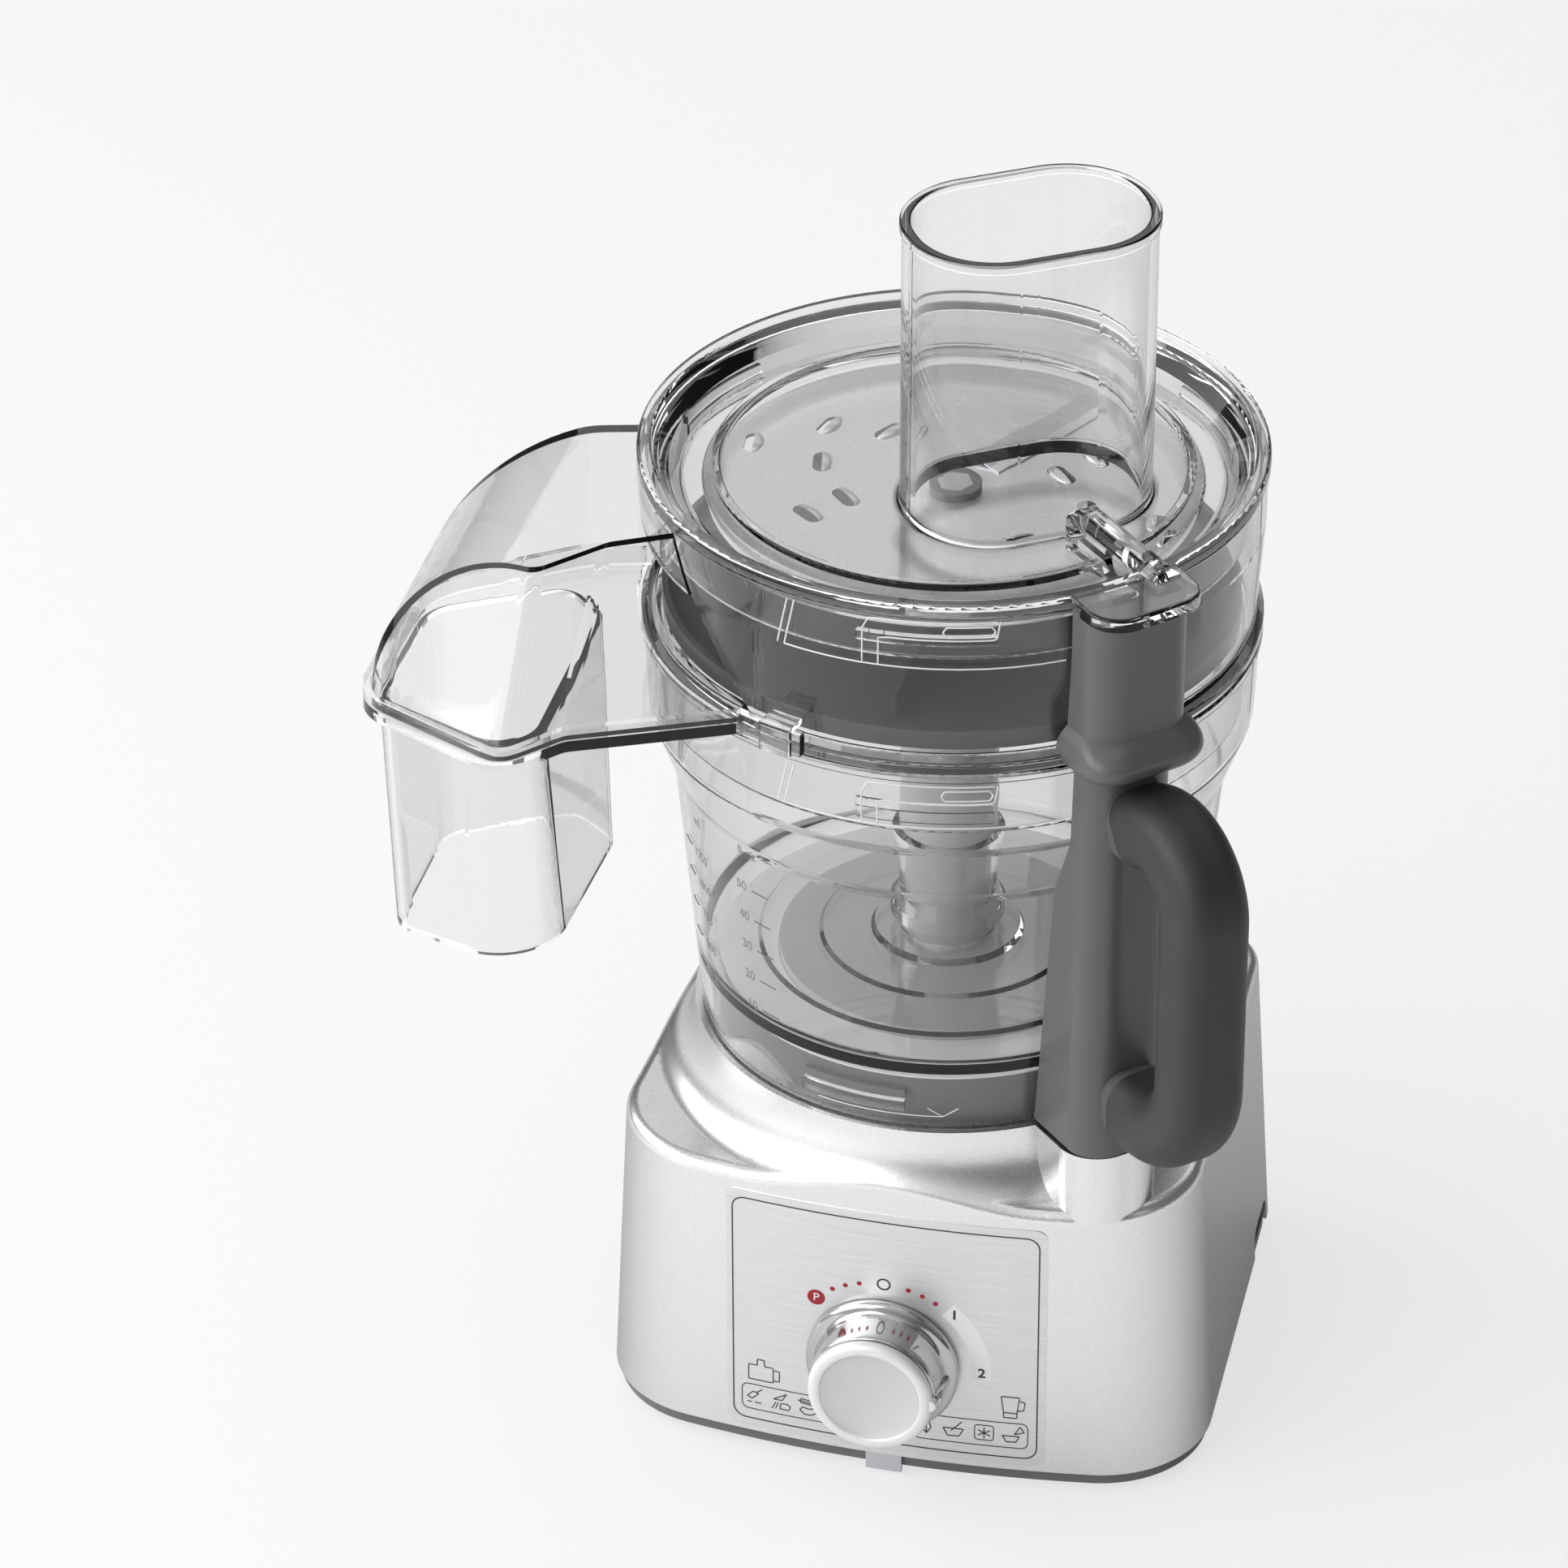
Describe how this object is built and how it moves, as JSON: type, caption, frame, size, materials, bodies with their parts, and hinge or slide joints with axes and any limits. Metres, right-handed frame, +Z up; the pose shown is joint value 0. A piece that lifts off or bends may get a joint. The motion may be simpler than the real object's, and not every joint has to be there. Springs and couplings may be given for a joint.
{
  "type": "food processor",
  "caption": "Countertop food processor: silver motor base with a dial, clear bowl with a loop handle, slicing disc, serving housing with a side chute, lid with an oval feed tube",
  "frame": {"origin": "on the table under the middle of the whole object's box", "axes": "+Z up along the drive axis; the dial faces -Y; the chute is on the -X side, the handle at front right"},
  "size_m": [0.2838, 0.2319, 0.435],
  "materials": {
    "silver_shell": "satin silver lacquer with a fine sparkle",
    "brushed_panel": "brushed along its width",
    "dark_plastic": "moulded",
    "rubber_black": "matt",
    "steel_dark": "turned",
    "smoke_tab": "smoky",
    "board_green": "lacquered board",
    "cast_alloy": "as cast",
    "bronze": "sintered",
    "copper": "turned",
    "white_nylon": "moulded",
    "chrome_knob": "polished",
    "satin_face": "fine satin",
    "clear_plastic": "clear",
    "gloss_charcoal": "smooth",
    "soft_charcoal": "fine grain",
    "silver_clip": "smooth",
    "grey_plastic": "moulded",
    "disc_steel": "stamped"
  },
  "bodies": {
    "base": {"base_shell": "silver_shell", "control_panel": "brushed_panel", "base_tray": "dark_plastic", "feet": "rubber_black", "tray_screws": "steel_dark", "front_tab": "smoke_tab", "selector_switch": "dark_plastic", "control_board": "board_green", "cord_inlet": "dark_plastic", "interlock_switch": "dark_plastic", "chassis": "cast_alloy", "stator": "steel_dark", "motor_brackets": "cast_alloy", "drive_belt": "rubber_black", "bowl_seat": "dark_plastic", "spindle_bushes": "bronze"},
    "knob": {"knob_skirt": "chrome_knob", "knob_cap": "satin_face", "knob_spindle": "steel_dark"},
    "rotor": {"motor_shaft": "steel_dark", "armature": "steel_dark", "commutator": "copper", "cooling_fan": "white_nylon", "motor_pulley": "cast_alloy"},
    "drive": {"drive_pulley": "white_nylon", "drive_spindle": "steel_dark", "drive_dog": "white_nylon", "drive_shaft": "grey_plastic", "sling_plate": "grey_plastic", "disc_hub": "grey_plastic", "slicing_disc": "disc_steel", "slicing_blade": "disc_steel"},
    "bowl": {"mixing_bowl": "clear_plastic", "handle_column": "gloss_charcoal", "handle_grip": "soft_charcoal", "rod_spring": "steel_dark"},
    "plunger": {"switch_plunger": "white_nylon"},
    "lower_rod": {"bowl_rod": "white_nylon"},
    "housing": {"serve_housing": "clear_plastic", "housing_column": "gloss_charcoal", "serving_chute": "clear_plastic", "chute_latch": "silver_clip"},
    "upper_rod": {"housing_rod": "white_nylon"},
    "cover": {"lid": "clear_plastic"}
  },
  "joints": [
    {"name": "knob_turn", "type": "hinge", "parent": "base", "child": "knob", "pos_m": [0.0237, -0.07073, 0.0465], "axis": [0, -1, 0], "range_deg": [0, 136]},
    {"name": "drive_spin", "type": "hinge", "parent": "base", "child": "drive", "pos_m": [0.0237, 0.016, 0.136], "axis": [0, 0, 1], "continuous": true},
    {"name": "motor_spin", "type": "hinge", "parent": "base", "child": "rotor", "pos_m": [0.0237, 0.066, 0.057], "axis": [0, 0, 1], "continuous": true},
    {"name": "bowl_twist", "type": "hinge", "parent": "base", "child": "bowl", "pos_m": [0.0237, 0.016, 0.141], "axis": [0, 0, 1], "range_deg": [0, 30]},
    {"name": "housing_twist", "type": "hinge", "parent": "bowl", "child": "housing", "pos_m": [0.0237, 0.016, 0.262], "axis": [0, 0, 1], "range_deg": [0, 30]},
    {"name": "lid_twist", "type": "hinge", "parent": "housing", "child": "cover", "pos_m": [0.0237, 0.016, 0.3235], "axis": [0, 0, 1], "range_deg": [0, 30]},
    {"name": "upper_rod_slide", "type": "slide", "parent": "housing", "child": "upper_rod", "axis": [0, 0, 1], "range_m": [0, 0.005]},
    {"name": "lower_rod_slide", "type": "slide", "parent": "bowl", "child": "lower_rod", "axis": [0, 0, 1], "range_m": [0, 0.005], "deforming": ["rod_spring"]},
    {"name": "plunger_slide", "type": "slide", "parent": "base", "child": "plunger", "axis": [0, 0, 1], "range_m": [0, 0.005]}
  ],
  "couplings": [
    {"joint": "motor_spin", "follows": "drive_spin", "ratio": 5.4286},
    {"joint": "upper_rod_slide", "follows": "lid_twist", "m_per_rad": 0.00954},
    {"joint": "lower_rod_slide", "follows": "lid_twist", "m_per_rad": 0.00954},
    {"joint": "plunger_slide", "follows": "lid_twist", "m_per_rad": 0.00954}
  ]
}
